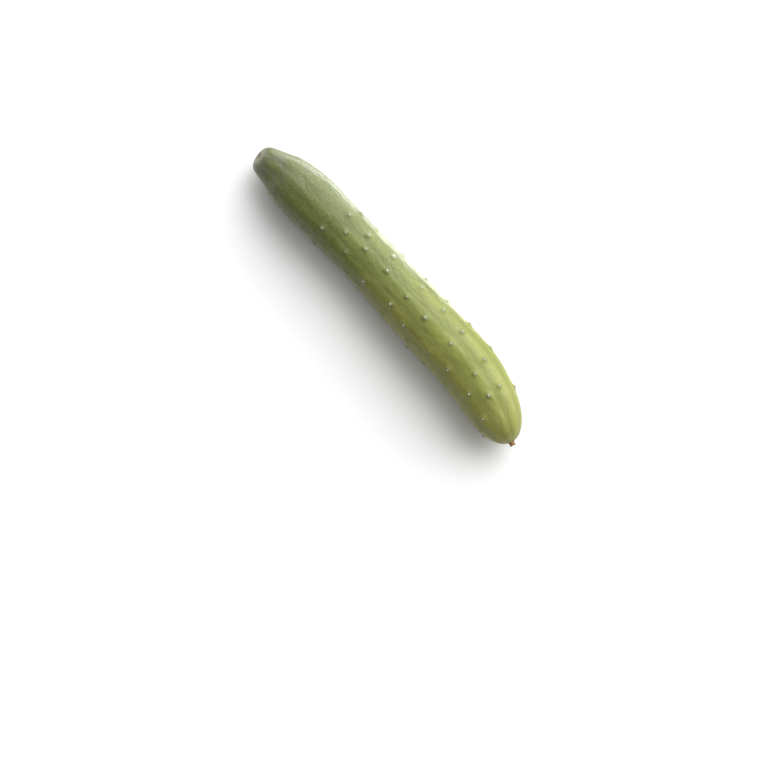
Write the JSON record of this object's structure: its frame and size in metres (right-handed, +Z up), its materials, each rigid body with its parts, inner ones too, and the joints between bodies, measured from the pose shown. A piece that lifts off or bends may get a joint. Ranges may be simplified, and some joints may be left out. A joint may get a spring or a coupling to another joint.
{
  "type": "japanese cucumber",
  "caption": "Whole slender japanese cucumber as picked, lying on its side, with faint ribs, small warts with pale tips, a stem scar and a dried flower nub.",
  "frame": {"origin": "middle of the fruit's box, on the surface that it lies on", "axes": "+X along the fruit from its stem end to its flower end, +Y towards the outside of its bend, +Z up"},
  "size_m": [0.2138, 0.0382, 0.0339],
  "materials": {
    "skin": "waxy, half gloss"
  },
  "bodies": {
    "root": {"cucumber": "skin"}
  },
  "joints": []
}
